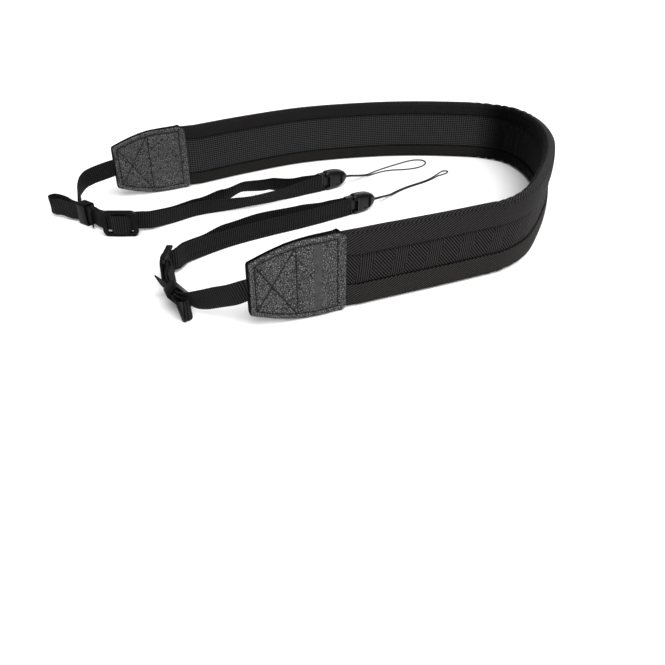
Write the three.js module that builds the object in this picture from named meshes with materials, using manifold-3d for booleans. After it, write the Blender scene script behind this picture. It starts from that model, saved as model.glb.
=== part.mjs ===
// A padded camera neck strap with quick-release ends, lying in a U on its long edge.
// Millimetres, +Z up. The plan tables are measured from a datum, and the finished group is moved
// so that the middle of its footprint is the origin.
import * as THREE from 'three';
import Module from 'manifold-3d';
import { mergeVertices } from 'three/addons/utils/BufferGeometryUtils.js';

const wasm = await Module();
wasm.setup();

// ---- driving dimensions ----
const datum = { x: -16.7, y: 126.0 };      // middle of the footprint in the plan tables
const gap = 0.3;                           // clearance between neighbouring pieces
const band = { height: 40, half: 2.5, skin: 0.9, thinned: 1.3, taper: 6, underTab: 12 };
const facing = { outerLeg: 12, innerLeg: 8, edge: 0.9, round: 0.6 };
const tab = { length: 48, height: 41.6, strapEnd: 27, leather: 1.1, corner: 4.5, curved: 30, close: 12 };
const webbing = { width: 10, thick: 1, inTab: 20, weave: 1.8, overBar: 1, settleOver: 9 };
const keeper = {
  length: 7.6, height: 13.4, depth: 7.2, wall: 1.2, corner: 1.2, holeCorner: 0.4, layer: 1.5, clear: 0.8,
};
const slider = {
  length: 20.5, height: 15.4, depth: 2.6, side: 2.8, rail: 2.2, bar: 3.5, corner: 3.6, windowCorner: 1,
  reliefDeep: 1.8, reliefBehind: 0.1,
};
const buckle = {
  height: 12, depth: 6.2, corner: 1, mouth: 5.9, barRadius: 1.0, plate: 0.7, plateDeep: 2.6, lap: 1.6,
  collarLength: 1.2, collarDeep: 3.0, tongueShort: 1.6,
};
const cord = { diameter: 0.9, sides: 8, step: 2.3 };

// ---- plan tables, from the datum ----
// The middle of the band and tabs, from the far tab's strap end round to the near tab's strap end.
const spineRows = [
  { x: -139.6, y: 161.6 }, { x: -120, y: 172 }, { x: -101, y: 183 }, { x: -64, y: 208.5 },
  { x: -24, y: 231 }, { x: 13, y: 242 }, { x: 50, y: 247.5 }, { x: 87, y: 246.5 },
  { x: 112, y: 242 }, { x: 129, y: 230 }, { x: 137.5, y: 205 }, { x: 137.5, y: 172 },
  { x: 130, y: 139 }, { x: 118, y: 107 }, { x: 103, y: 77 }, { x: 88, y: 62 },
  { x: 75, y: 55.5 }, { x: 54, y: 45.7 }, { x: 33, y: 36.5 }, { x: 13, y: 27.5 },
  { x: -6, y: 17.3 }, { x: -24, y: 9.2 }, { x: -38.2, y: 3.4 },
];

// Each side's webbing. lead is the single strand from the tab to the keeper; run is the doubled
// stretch from the keeper through the slider to the buckle's bar; tail is the looped free end and
// poke is its tip, tucked back through the keeper. z is the height of the webbing's middle and lean
// tips its top edge, in degrees, towards the side that the returning strand lies on, which is the
// left of the way to the buckle where hand is 1. On the run, main and back are how far the outgoing
// and returning strands lie to that side of the row's point, and lift raises the rear strand.
const sides = {
  far: {
    hand: -1,
    rear: 'main',
    lead: [
      { x: -148, y: 158.4, z: 18.8, lean: 0 },
      { x: -154.6, y: 155.4, z: 16.8, lean: -2 },
      { x: -157.6, y: 152, z: 15.2, lean: -4 },
      { x: -158.8, y: 145.6, z: 12.8, lean: -6 },
      { x: -158, y: 139.2, z: 10.4, lean: -9 },
      { x: -154.9, y: 132.8, z: 8.2, lean: -6 },
    ],
    run: [
      { x: -153.4, y: 125.8, z: 7, lean: 0, main: -1.5, back: 0, lift: 0 },
      { x: -148.5, y: 122.4, z: 7, lean: 0, main: -1.5, back: 0, lift: 0 },
      { x: -142.4, y: 117.6, z: 7, lean: 0, main: -1.3, back: 0.3, lift: 0 },
      { x: -134.4, y: 109.4, z: 7.4, lean: 0, main: -0.9, back: 0.9, lift: 0 },
      { x: -123.5, y: 104.6, z: 7.8, lean: 0, main: -0.9, back: 0.9, lift: 0 },
      { x: -112, y: 109.6, z: 7, lean: 8, main: -0.9, back: 0.9, lift: 0 },
      { x: -98, y: 121, z: 5.7, lean: 14, main: -1, back: 0.9, lift: 0 },
      { x: -82.7, y: 133.6, z: 5.4, lean: 18, main: -2.4, back: 0.9, lift: 0 },
      { x: -67, y: 139.6, z: 5.4, lean: 26, main: -8.9, back: 0.9, lift: -1.3 },
      { x: -52, y: 145.8, z: 5.4, lean: 34, main: -14.5, back: 0.9, lift: -3.5 },
      { x: -36, y: 155.2, z: 5.4, lean: 28, main: -10.8, back: 0.9, lift: -1.2 },
      { x: -21, y: 166.4, z: 5.4, lean: 10, main: -3, back: 1.4, lift: 0.9 },
      { x: -9, y: 174.4, z: 6, lean: 0, main: -1.7, back: 1.7, lift: 0 },
    ],
    keeperRow: 1,
    sliderRow: 4,
    loopRadius: 3.4,
    tail: [
      { x: -157.6, y: 128.6, z: 7, lean: 0 },
      { x: -163, y: 133.4, z: 7.6, lean: 2 },
      { x: -168.4, y: 136.8, z: 8, lean: 8 },
    ],
    poke: [
      { x: -143.9, y: 115.8, z: 6.8, lean: 0 },
      { x: -142.4, y: 112.4, z: 6.4, lean: 0 },
    ],
  },
  near: {
    hand: 1,
    rear: 'back',
    lead: [
      { x: -45.2, y: 4, z: 17.9, lean: 0 },
      { x: -53, y: 8.4, z: 14, lean: 2 },
      { x: -60.8, y: 11.8, z: 10.6, lean: 6 },
      { x: -66.8, y: 14.6, z: 8.7, lean: 20 },
    ],
    run: [
      { x: -72.3, y: 17.8, z: 7, lean: 38, main: -1.5, back: 0, lift: 0 },
      { x: -74.2, y: 22, z: 7, lean: 38, main: -1.5, back: 0, lift: 0 },
      { x: -76.1, y: 26.2, z: 7, lean: 38, main: -1.5, back: 0, lift: 0 },
      { x: -79.8, y: 33.2, z: 7.1, lean: 24, main: -1.2, back: 0.3, lift: 0 },
      { x: -83.4, y: 42.6, z: 7.5, lean: 5, main: -0.9, back: 0.9, lift: 0 },
      { x: -85.7, y: 53, z: 7.8, lean: 0, main: -0.9, back: 0.9, lift: 0 },
      { x: -82.4, y: 65, z: 6.9, lean: 4, main: -0.9, back: 1.2, lift: 0 },
      { x: -72, y: 79, z: 5.5, lean: 6, main: -0.9, back: 1.8, lift: 0.2 },
      { x: -57.6, y: 91.6, z: 5.2, lean: 0, main: -0.9, back: 4.4, lift: 1.4 },
      { x: -39, y: 104, z: 5.2, lean: 0, main: -0.9, back: 5.8, lift: 2 },
      { x: -18, y: 116.4, z: 5.2, lean: 0, main: -0.9, back: 5, lift: 1.6 },
      { x: -3, y: 126.4, z: 5.4, lean: 0, main: -1.2, back: 3, lift: 0.6 },
      { x: 8.4, y: 134.2, z: 6, lean: 0, main: -1.7, back: 1.7, lift: 0 },
    ],
    keeperRow: 1,
    sliderRow: 5,
    loopRadius: 2.6,
    tail: [
      { x: -70.4, y: 15.6, z: 6.4, lean: 26 },
      { x: -68.1, y: 13.4, z: 5.8, lean: 6 },
    ],
    poke: [
      { x: -80.4, y: 29.4, z: 7.6, lean: 34 },
      { x: -83.6, y: 31.6, z: 8.2, lean: 30 },
      { x: -86.2, y: 33.6, z: 8.6, lean: 28 },
    ],
  },
};

// The cord loops, from one side of the buckle's nose out, round the tip and back, hand placed.
const cordRows = {
  far: [
    [8.6, 186.9, 6.0], [11.4, 189.0, 5.6], [15.6, 193, 4.2], [19.8, 198.2, 2.4], [24.2, 203.6, 0.9],
    [29.4, 209.8, 0.5], [35, 215.4, 0.5], [41.4, 221, 0.5], [48.4, 226.8, 0.5],
    [55.2, 232, 0.5], [61.6, 235, 0.5], [66.8, 234.2, 0.5], [68.6, 229.2, 0.5],
    [65.4, 222.2, 0.5], [59, 217.2, 0.5], [51, 214.6, 0.5], [43.2, 213.6, 0.5],
    [36.4, 211, 0.5], [30.6, 206.8, 0.5], [25.8, 202.2, 0.9], [21.2, 196.8, 2.4],
    [16.8, 191.4, 4.2], [12.4, 187.4, 5.6], [9.4, 185.4, 6.0],
  ],
  near: [
    [25.8, 146.9, 6.0], [28.4, 149.4, 5.6], [31.4, 154.6, 4.2], [35, 161, 2.4], [38.6, 167.2, 0.9],
    [43.4, 173.8, 0.5], [49.4, 180, 0.5], [56, 185.6, 0.5], [62.6, 191, 0.5], [68.4, 197, 0.5],
    [73, 203.4, 0.5], [76.6, 208.8, 0.5], [79.4, 211.8, 0.5], [82.2, 211.2, 0.5], [81.4, 208, 0.5],
    [77.8, 204.6, 0.5], [74.3, 201.9, 0.5], [69.5, 196, 0.5], [63.6, 190, 0.5], [57, 184.6, 0.5],
    [50.4, 179, 0.5], [44.5, 172.9, 0.5], [39.8, 166.4, 0.9], [36.2, 160.3, 2.4],
    [32.7, 153.9, 4.2], [29.9, 148.5, 5.6], [26.8, 145.5, 6.0],
  ],
};

// ---- finishes ----
const finishes = {
  twill: { color: 0x17171a, roughness: 0.86 },
  chevron: { color: 0x141417, roughness: 0.88 },
  mesh: { color: 0x121215, roughness: 0.9 },
  foam: { color: 0x101012, roughness: 0.95 },
  leather: { color: 0x2c2c2e, roughness: 0.55 },
  nylon: { color: 0x18181a, roughness: 0.75 },
  acetal: { color: 0x1b1b1d, roughness: 0.42 },
  string: { color: 0x141416, roughness: 0.8 },
};

const strap = new THREE.Group();
strap.position.set(-datum.x, -datum.y, 0);

function addPiece(name, geometry, finish) {
  const piece = new THREE.Mesh(geometry, new THREE.MeshStandardMaterial({ metalness: 0, ...finishes[finish] }));
  piece.name = name;
  strap.add(piece);
  return piece;
}

// ---- lofted solids ----

// A closed solid through rings of points; the first ring's flat outline gives the end caps.
function loftRings(rings, outline) {
  const count = outline.length;
  const position = rings.flat().flatMap((point) => [point.x, point.y, point.z]);
  const index = [];
  for (let ring = 0; ring + 1 < rings.length; ring += 1) {
    for (let side = 0; side < count; side += 1) {
      const a = ring * count + side;
      const b = ring * count + ((side + 1) % count);
      index.push(a, b, b + count, a, b + count, a + count);
    }
  }
  const last = (rings.length - 1) * count;
  const clockwise = THREE.ShapeUtils.isClockWise(outline);
  for (const [a, b, c] of THREE.ShapeUtils.triangulateShape([...outline], [])) {
    const [second, third] = clockwise ? [c, b] : [b, c];
    index.push(a, third, second);
    index.push(last + a, last + second, last + third);
  }
  const geometry = new THREE.BufferGeometry();
  geometry.setAttribute('position', new THREE.Float32BufferAttribute(position, 3));
  geometry.setIndex(index);
  return faceOutward(geometry);
}

// Turns a closed mesh the right way out when its signed volume is negative.
function faceOutward(geometry) {
  const position = geometry.attributes.position;
  const index = geometry.index.array;
  const corners = [new THREE.Vector3(), new THREE.Vector3(), new THREE.Vector3()];
  let volume = 0;
  for (let start = 0; start < index.length; start += 3) {
    corners.forEach((corner, place) => corner.fromBufferAttribute(position, index[start + place]));
    volume += corners[0].dot(corners[1].cross(corners[2]));
  }
  if (volume < 0) {
    for (let start = 0; start < index.length; start += 3) {
      [index[start + 1], index[start + 2]] = [index[start + 2], index[start + 1]];
    }
  }
  return geometry;
}

const spine = new THREE.CatmullRomCurve3(spineRows.map((row) => new THREE.Vector3(row.x, row.y, 0)));
spine.arcLengthDivisions = 1200;
const spineLength = spine.getLength();

// The place on the spine at a distance from the far strap end, with the direction away from the neck.
function spineFrame(distance) {
  const u = Math.min(Math.max(distance / spineLength, 0), 1);
  const tangent = spine.getTangentAt(u);
  return { point: spine.getPointAt(u), away: new THREE.Vector3(-tangent.y, tangent.x, 0) };
}

// Sweeps a section of [away, height] corners along the spine; section(distance) may change on the way.
function sweepSpine(from, to, steps, section) {
  const rings = [];
  for (let step = 0; step <= steps; step += 1) {
    const distance = from + ((to - from) * step) / steps;
    const { point, away } = spineFrame(distance);
    rings.push(section(distance).map(([n, z]) => point.clone().addScaledVector(away, n).setZ(z)));
  }
  return loftRings(rings, section(from).map(([n, z]) => new THREE.Vector2(n, z)));
}

// ---- the padded band ----

const bandFrom = tab.length - band.underTab;
const bandTo = spineLength - bandFrom;
const bandSteps = 54;
const tabRise = (tab.height - band.height) / 2;

// How far into a tab a place is: 0 on the open band and 1 where the leather covers it.
function undercover(distance) {
  const open = Math.min(distance, spineLength - distance) - tab.length;
  return THREE.MathUtils.clamp(1 - open / band.taper, 0, 1);
}

// The band thins where it enters a tab and rises by the tab's overhang.
function bandSection(corners) {
  return (distance) => {
    const cover = undercover(distance);
    const squeeze = 1 - cover * (1 - band.thinned / band.half);
    return corners.map(([n, z]) => [n * squeeze, z + cover * tabRise]);
  };
}

const inner = band.half - band.skin;
const top = band.height;

function panelCorners(from, to, low, high) {
  return [[from, low], [to, low], [to, high], [from, high]];
}

function bindingCorners() {
  const { outerLeg, innerLeg, edge, round } = facing;
  return [
    [-band.half, top - innerLeg], [-inner, top - innerLeg], [-inner, top - edge],
    [inner, top - edge], [inner, top - outerLeg], [band.half, top - outerLeg],
    [band.half, top - round], [band.half - round, top], [-band.half + round, top],
    [-band.half, top - round],
  ];
}

const bandPieces = [
  { name: 'neck_pad', finish: 'foam',
    corners: panelCorners(gap - inner, inner - gap, facing.edge + gap, top - facing.edge - gap) },
  { name: 'mesh_lining', finish: 'mesh',
    corners: panelCorners(-band.half, -inner, facing.innerLeg + gap, top - facing.innerLeg - gap) },
  { name: 'chevron_panel', finish: 'chevron',
    corners: panelCorners(inner, band.half, facing.outerLeg + gap, top - facing.outerLeg - gap) },
  { name: 'upper_binding', finish: 'twill', corners: bindingCorners() },
  { name: 'lower_binding', finish: 'twill', corners: bindingCorners().map(([n, z]) => [n, top - z]) },
];
for (const { name, finish, corners } of bandPieces) {
  addPiece(name, sweepSpine(bandFrom, bandTo, bandSteps, bandSection(corners)), finish);
}

// ---- leather tabs ----

// Half the tab's height at a distance in from its strap end: a long arc, then round corners.
function tabHalfHeight(distance) {
  const opening = Math.sin((Math.PI / 2) * Math.min(1, distance / tab.curved));
  const half = (tab.strapEnd + (tab.height - tab.strapEnd) * opening) / 2;
  const intoCorner = Math.max(0, distance - (tab.length - tab.corner));
  return half - tab.corner + Math.sqrt(Math.max(0, tab.corner ** 2 - intoCorner ** 2));
}

// The leather's inner face: against the webbing at the strap end, against the band at the other.
function tabInnerFace(distance) {
  const thin = webbing.thick / 2 + gap;
  const thick = band.thinned + gap;
  const start = tab.length - band.underTab - tab.close;
  return thin + (thick - thin) * THREE.MathUtils.smoothstep(distance, start, start + tab.close - 1);
}

const tabStations = [0, 3, 7, 12, 18, 24, 27, 30, 33, 36, 40, 43.5, 45, 46.2, 47.1, 47.7, 47.99];

function tabLeaf(fromStart, side) {
  const section = (distance) => {
    const near = tabInnerFace(distance);
    const half = tabHalfHeight(distance);
    const middle = tab.height / 2;
    return panelCorners(side * near, side * (near + tab.leather), middle - half, middle + half);
  };
  const rings = tabStations.map((distance) => {
    const { point, away } = spineFrame(fromStart ? distance : spineLength - distance);
    return section(distance).map(([n, z]) => point.clone().addScaledVector(away, n).setZ(z));
  });
  return loftRings(rings, section(0).map(([n, z]) => new THREE.Vector2(n, z)));
}

for (const [side, fromStart] of [['far', true], ['near', false]]) {
  addPiece(`${side}_tab_outer`, tabLeaf(fromStart, 1), 'leather');
  addPiece(`${side}_tab_inner`, tabLeaf(fromStart, -1), 'leather');
}

// ---- webbing ----

const upright = new THREE.Vector3(0, 0, 1);

// A smooth line through a table's x, y and z, with its other columns carried along it.
function tableCurve(rows) {
  const points = rows.map((row) => new THREE.Vector3(row.x, row.y, row.z));
  const line = new THREE.CatmullRomCurve3(points, false, 'centripetal');
  line.arcLengthDivisions = 400;
  const column = (name, t) => {
    const place = t * (rows.length - 1);
    const row = Math.min(Math.floor(place), rows.length - 2);
    const weight = THREE.MathUtils.smoothstep(place - row, 0, 1);
    return THREE.MathUtils.lerp(rows[row][name], rows[row + 1][name], weight);
  };
  return { line, column };
}

// The webbing's up and the way that its front face looks, tipped by a lean towards the front.
function tipped(front, degrees) {
  const lean = THREE.MathUtils.degToRad(degrees);
  const up = upright.clone().multiplyScalar(Math.cos(lean)).addScaledVector(front, Math.sin(lean));
  const face = front.clone().multiplyScalar(Math.cos(lean)).addScaledVector(upright, -Math.sin(lean));
  return { up, face };
}

// A frame on a run: its point, the way forward, the level way to the front, and the tipped webbing.
function runFrame(side, distance) {
  const { line, column } = side.curve;
  const t = line.getUtoTmapping(distance / side.length);
  const along = line.getTangent(t).setZ(0).normalize();
  const front = new THREE.Vector3(-along.y, along.x, 0).multiplyScalar(side.hand);
  const read = (name) => column(name, t);
  return { point: line.getPoint(t), along, front, read, ...tipped(front, read('lean')) };
}

// How far the webbing is pushed to the front by the slider's bars: behind the sides, over the bar.
function weave(fromSlider) {
  const apart = Math.abs(fromSlider);
  const reach = slider.length / 2;
  const over = 1 - THREE.MathUtils.smoothstep(apart, slider.bar / 2 + webbing.overBar, reach - slider.side);
  const settle = 1 - THREE.MathUtils.smoothstep(apart, reach, reach + webbing.settleOver);
  return webbing.weave * (2 * over - 1) * settle;
}

// Stations of one strand of the run, from the keeper to the buckle's bar.
function runStrand(side, strand) {
  const stations = [];
  const steps = Math.round(side.length / 2);
  for (let step = 0; step <= steps; step += 1) {
    const distance = (side.length * step) / steps;
    const { point, read, up, face } = runFrame(side, distance);
    const push = read(strand) + weave(distance - side.sliderAt);
    const lift = strand === side.rear ? read('lift') : 0;
    const centre = point.clone().addScaledVector(face, push);
    centre.z += lift;
    stations.push({ centre, up });
  }
  return stations;
}

// Stations of a turn about an upright axis: from one side of it round to the other.
function turnStations(axis, along, front, radius, up, steps) {
  return Array.from({ length: steps - 1 }, (_, step) => {
    const angle = (Math.PI * (step + 1)) / steps;
    const centre = axis.clone().addScaledVector(front, -radius * Math.cos(angle));
    centre.addScaledVector(along, radius * Math.sin(angle));
    return { centre, up: up.clone() };
  });
}

// Stations straight from a table; hand is 1 where the webbing's returning side is on the left.
function leanStations(rows, hand) {
  const line = tableCurve(rows).line;
  return rows.map((row, place) => {
    const along = line.getTangent(place / (rows.length - 1)).setZ(0).normalize();
    const front = new THREE.Vector3(-along.y, along.x, 0).multiplyScalar(hand);
    return { centre: new THREE.Vector3(row.x, row.y, row.z), front, along, ...tipped(front, row.lean) };
  });
}

// A flat strip through the stations, splined twice as fine as they are.
function ribbon(stations) {
  const centres = new THREE.CatmullRomCurve3(stations.map((station) => station.centre), false, 'centripetal');
  const ups = new THREE.CatmullRomCurve3(stations.map((station) => station.up));
  const steps = stations.length - 1;
  const rings = [];
  for (let step = 0; step <= steps; step += 1) {
    const t = step / steps;
    const along = centres.getTangent(t);
    const up = ups.getPoint(t);
    up.addScaledVector(along, -up.dot(along)).normalize();
    const face = new THREE.Vector3().crossVectors(along, up);
    const centre = centres.getPoint(t);
    rings.push([[-1, -1], [1, -1], [1, 1], [-1, 1]].map(([a, b]) => centre.clone()
      .addScaledVector(face, (a * webbing.thick) / 2)
      .addScaledVector(up, (b * webbing.width) / 2)));
  }
  const [w, h] = [webbing.thick / 2, webbing.width / 2];
  const outline = [[-w, -h], [w, -h], [w, h], [-w, h]].map(([x, y]) => new THREE.Vector2(x, y));
  return loftRings(rings, outline);
}

function sideWebbing(side, fromStart) {
  const inTab = (distance) => {
    const { point } = spineFrame(fromStart ? distance : spineLength - distance);
    return { centre: point.setZ(tab.height / 2), up: upright.clone() };
  };
  const lead = [inTab(webbing.inTab), inTab(webbing.inTab / 2), inTab(2), inTab(0)];
  lead.push(...leanStations(side.lead, side.hand));
  const main = runStrand(side, 'main');
  const back = runStrand(side, 'back').reverse();
  const end = runFrame(side, side.length);
  const turn = turnStations(end.point, end.along, end.front, end.read('back'), upright, 6);

  const tail = leanStations(side.tail, -side.hand);
  const tip = tail.at(-1);
  const radius = side.loopRadius;
  const hinge = tip.centre.clone().addScaledVector(tip.front, radius);
  const loop = turnStations(hinge, tip.along, tip.front, radius, tip.up, 6);
  const returned = [...tail].reverse().map(({ centre, up, face }, place) => {
    const apart = THREE.MathUtils.lerp(2 * radius, keeper.layer, place / tail.length);
    return { centre: centre.clone().addScaledVector(face, apart), up: up.clone() };
  });
  const throughKeeper = [0, side.keeperAt / 2, side.keeperAt, side.keeperAt + keeper.length / 2 + keeper.clear];
  const tucked = throughKeeper.map((distance) => {
    const { point, up, face } = runFrame(side, distance);
    return { centre: point.addScaledVector(face, keeper.layer), up };
  });
  const poke = leanStations(side.poke, side.hand);
  return ribbon([...lead, ...main, ...turn, ...back, ...tail, ...loop, ...returned, ...tucked, ...poke]);
}

// ---- hardware ----

function toSolid(geometry) {
  const plain = geometry.clone();
  plain.deleteAttribute('normal');
  plain.deleteAttribute('uv');
  const merged = mergeVertices(plain, 1e-4);
  const mesh = new wasm.Mesh({
    numProp: 3,
    vertProperties: new Float32Array(merged.attributes.position.array),
    triVerts: new Uint32Array(merged.index.array),
  });
  return new wasm.Manifold(mesh);
}

function fromSolid(solid) {
  const { vertProperties, triVerts } = solid.getMesh();
  const geometry = new THREE.BufferGeometry();
  geometry.setAttribute('position', new THREE.BufferAttribute(new Float32Array(vertProperties), 3));
  geometry.setIndex(new THREE.BufferAttribute(new Uint32Array(triVerts), 1));
  return geometry;
}

function boxSolid(x, y, z, at) {
  return toSolid(new THREE.BoxGeometry(x, y, z).translate(at[0], at[1], at[2]));
}

function roundedOutline(width, height, radius, Kind = THREE.Shape) {
  const [x, y] = [width / 2, height / 2];
  const outline = new Kind();
  outline.moveTo(-x + radius, -y);
  outline.lineTo(x - radius, -y);
  outline.absarc(x - radius, -y + radius, radius, -Math.PI / 2, 0);
  outline.lineTo(x, y - radius);
  outline.absarc(x - radius, y - radius, radius, 0, Math.PI / 2);
  outline.lineTo(-x + radius, y);
  outline.absarc(-x + radius, y - radius, radius, Math.PI / 2, Math.PI);
  outline.lineTo(-x, -y + radius);
  outline.absarc(-x + radius, -y + radius, radius, Math.PI, Math.PI * 1.5);
  return outline;
}

// Puts a piece made with X forward, Y to the left and Z up on the run, tipped as the webbing is,
// and resting on the floor: size gives its height, its depth and how round its corners are.
function placeOnRun(piece, side, distance, { height, depth, corner }) {
  const { point, along, up, read } = runFrame(side, distance);
  const left = new THREE.Vector3().crossVectors(up, along);
  const lean = THREE.MathUtils.degToRad(read('lean'));
  const rise = (height / 2 - corner) * Math.cos(lean) + (depth / 2 - corner) * Math.sin(lean) + corner;
  piece.setRotationFromMatrix(new THREE.Matrix4().makeBasis(along, left, up));
  piece.position.copy(point).setZ(rise);
}

// A square loop of plastic round both strands, open along X.
function keeperGeometry() {
  const outline = roundedOutline(keeper.depth, keeper.height, keeper.corner);
  const [width, height] = [keeper.depth - 2 * keeper.wall, keeper.height - 2 * keeper.wall];
  outline.holes.push(roundedOutline(width, height, keeper.holeCorner, THREE.Path));
  const settings = { depth: keeper.length, bevelEnabled: false, curveSegments: 3 };
  const geometry = new THREE.ExtrudeGeometry(outline, settings);
  geometry.translate(0, 0, -keeper.length / 2);
  return geometry.rotateX(Math.PI / 2).rotateZ(Math.PI / 2);
}

// A tri-glide: a rounded frame with side bars to the front and a middle bar to the back.
function sliderGeometry() {
  const { length, height, depth, side, rail, bar, corner } = slider;
  const outline = roundedOutline(length, height, corner);
  const window = [length - 2 * side, height - 2 * rail];
  outline.holes.push(roundedOutline(window[0], window[1], slider.windowCorner, THREE.Path));
  const plate = new THREE.ExtrudeGeometry(outline, { depth, bevelEnabled: false, curveSegments: 5 });
  plate.translate(0, 0, -depth / 2).rotateX(Math.PI / 2);
  const barDeep = depth / 2 + 0.1;
  let solid = toSolid(plate);
  solid = solid.add(boxSolid(bar, barDeep, window[1] + 1, [0, (barDeep - depth) / 2, 0]));
  const { reliefDeep: deep, reliefBehind: behind } = slider;
  const relief = { from: window[0] / 2 - 1, to: length / 2 + 1, deep, behind };
  for (const end of [-1, 1]) {
    const at = [(end * (relief.from + relief.to)) / 2, -relief.behind - relief.deep / 2, 0];
    solid = solid.subtract(boxSolid(relief.to - relief.from, relief.deep, window[1], at));
  }
  return fromSolid(solid);
}

// The bullet-shaped socket: oval sections from the mouth to the nose, hollowed for the prong.
const socketRows = [
  { x: 0, tall: 11.0, deep: 5.4 }, { x: 0.9, tall: 11.9, deep: 6.1 }, { x: 5.5, tall: 12, deep: 6.2 },
  { x: 9, tall: 11.4, deep: 6.2 }, { x: 12, tall: 10, deep: 5.8 }, { x: 14.2, tall: 8, deep: 5.0 },
  { x: 15.8, tall: 5.8, deep: 3.9 }, { x: 16.8, tall: 3.6, deep: 2.8 },
];
const socketRound = 3.4;                   // how square the oval is: 2 is a plain ellipse
const cavity = { length: 12.6, tall: 6.4, deep: 3.6, windowFrom: 7.2, windowTo: 12.6 };
const socketStart = buckle.mouth - buckle.lap;

function ovalRing(row, count) {
  return Array.from({ length: count }, (_, place) => {
    const angle = (2 * Math.PI * (place + 0.5)) / count;
    const squared = (value) => Math.sign(value) * Math.abs(value) ** (2 / socketRound);
    return [(squared(Math.cos(angle)) * row.deep) / 2, (squared(Math.sin(angle)) * row.tall) / 2];
  });
}

function socketGeometry() {
  const count = 24;
  const rings = socketRows.map((row) => ovalRing(row, count).map(([y, z]) => new THREE.Vector3(row.x, y, z)));
  const outline = ovalRing(socketRows[0], count).map(([y, z]) => new THREE.Vector2(y, z));
  let solid = toSolid(loftRings(rings, outline));
  const { length, tall, deep, windowFrom, windowTo } = cavity;
  solid = solid.subtract(boxSolid(length + 1, deep, tall, [length / 2 - 0.5, 0, 0]));
  const window = boxSolid(windowTo - windowFrom, buckle.depth + 2, tall, [(windowFrom + windowTo) / 2, 0, 0]);
  return fromSolid(solid.subtract(window)).translate(socketStart, 0, 0);
}

// The prong half: an upright bar held by two plates, a collar at the mouth and a tongue inside.
function prongGeometry() {
  const { height, depth, barRadius, plate, mouth, lap } = buckle;
  const bar = new THREE.CylinderGeometry(barRadius, barRadius, height - plate, 16).rotateX(Math.PI / 2);
  let solid = toSolid(bar);
  const { collarLength, collarDeep, plateDeep, tongueShort } = buckle;
  const collarEnd = mouth - lap - gap;
  for (const end of [-1, 1]) {
    const at = [collarEnd / 2 - barRadius / 2, 0, (end * (height - plate)) / 2];
    solid = solid.add(boxSolid(collarEnd + barRadius, plateDeep, plate, at));
  }
  const collar = boxSolid(collarLength, collarDeep, height, [collarEnd - collarLength / 2, 0, 0]);
  const tongueEnd = socketStart + cavity.windowTo - tongueShort;
  const tongueStart = collarEnd - collarLength / 2;
  const tongueTall = cavity.tall - 2 * gap;
  const tongue = boxSolid(tongueEnd - tongueStart, cavity.deep - 2 * gap, tongueTall,
    [(tongueStart + tongueEnd) / 2, 0, 0]);
  const padStart = socketStart + cavity.windowFrom + gap;
  const pad = boxSolid(tongueEnd - padStart, depth - 2 * gap, tongueTall, [(padStart + tongueEnd) / 2, 0, 0]);
  return fromSolid(solid.add(collar).add(tongue).add(pad));
}

const rowParts = 40;                       // how finely a run is measured between two rows
for (const [name, side] of Object.entries(sides)) {
  side.curve = tableCurve(side.run);
  const lengths = side.curve.line.getLengths((side.run.length - 1) * rowParts);
  side.length = lengths.at(-1);
  side.keeperAt = lengths[side.keeperRow * rowParts];
  side.sliderAt = lengths[side.sliderRow * rowParts];
  addPiece(`${name}_webbing`, sideWebbing(side, name === 'far'), 'nylon');

  const keeperPiece = addPiece(`${name}_keeper`, keeperGeometry(), 'acetal');
  placeOnRun(keeperPiece, side, side.keeperAt, keeper);

  const sliderPiece = addPiece(`${name}_slider`, sliderGeometry(), 'acetal');
  placeOnRun(sliderPiece, side, side.sliderAt, slider);
  if (side.hand < 0) {
    sliderPiece.rotateZ(Math.PI);
  }

  for (const [part, geometry] of [['prong', prongGeometry()], ['socket', socketGeometry()]]) {
    const piece = addPiece(`${name}_buckle_${part}`, geometry, 'acetal');
    placeOnRun(piece, side, side.length, buckle);
  }
}

// ---- cord loops ----

for (const [name, rows] of Object.entries(cordRows)) {
  const route = new THREE.CatmullRomCurve3(rows.map((row) => new THREE.Vector3(...row)), false, 'centripetal');
  const radius = cord.diameter / 2;
  const section = new THREE.Shape(Array.from({ length: cord.sides }, (_, side) => {
    const angle = (2 * Math.PI * (side + 0.5)) / cord.sides;
    return new THREE.Vector2(radius * Math.cos(angle), radius * Math.sin(angle));
  }));
  const steps = Math.min(78, Math.round(route.getLength() / cord.step));
  const tube = new THREE.ExtrudeGeometry(section, { steps, extrudePath: route, bevelEnabled: false });
  addPiece(`${name}_cord`, tube, 'string');
}

export default strap;
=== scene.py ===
import math

import bmesh
import bpy
import numpy as np
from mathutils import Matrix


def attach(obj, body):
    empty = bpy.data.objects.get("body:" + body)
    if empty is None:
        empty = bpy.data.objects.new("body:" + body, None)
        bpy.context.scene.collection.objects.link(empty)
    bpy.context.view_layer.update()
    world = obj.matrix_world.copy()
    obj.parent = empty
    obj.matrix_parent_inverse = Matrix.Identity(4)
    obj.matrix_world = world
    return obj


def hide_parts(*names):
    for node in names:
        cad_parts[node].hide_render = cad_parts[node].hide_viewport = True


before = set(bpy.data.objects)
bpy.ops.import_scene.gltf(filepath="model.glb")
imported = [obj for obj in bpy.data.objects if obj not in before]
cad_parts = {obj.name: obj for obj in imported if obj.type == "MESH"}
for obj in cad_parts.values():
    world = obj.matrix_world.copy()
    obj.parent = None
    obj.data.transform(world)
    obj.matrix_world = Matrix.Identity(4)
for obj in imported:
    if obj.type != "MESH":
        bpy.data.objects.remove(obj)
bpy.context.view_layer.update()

mm = 0.001
datum = np.array([-16.7, 126.0, 0.0])  # middle of the footprint in the plan tables, in mm
print("frame loaded:", len(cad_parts), "nodes")


# ---- camera ----

camera = {"distance": 324, "pitch": 33, "lens": 37.9, "sensor": 36}  # mm and degrees


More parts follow.
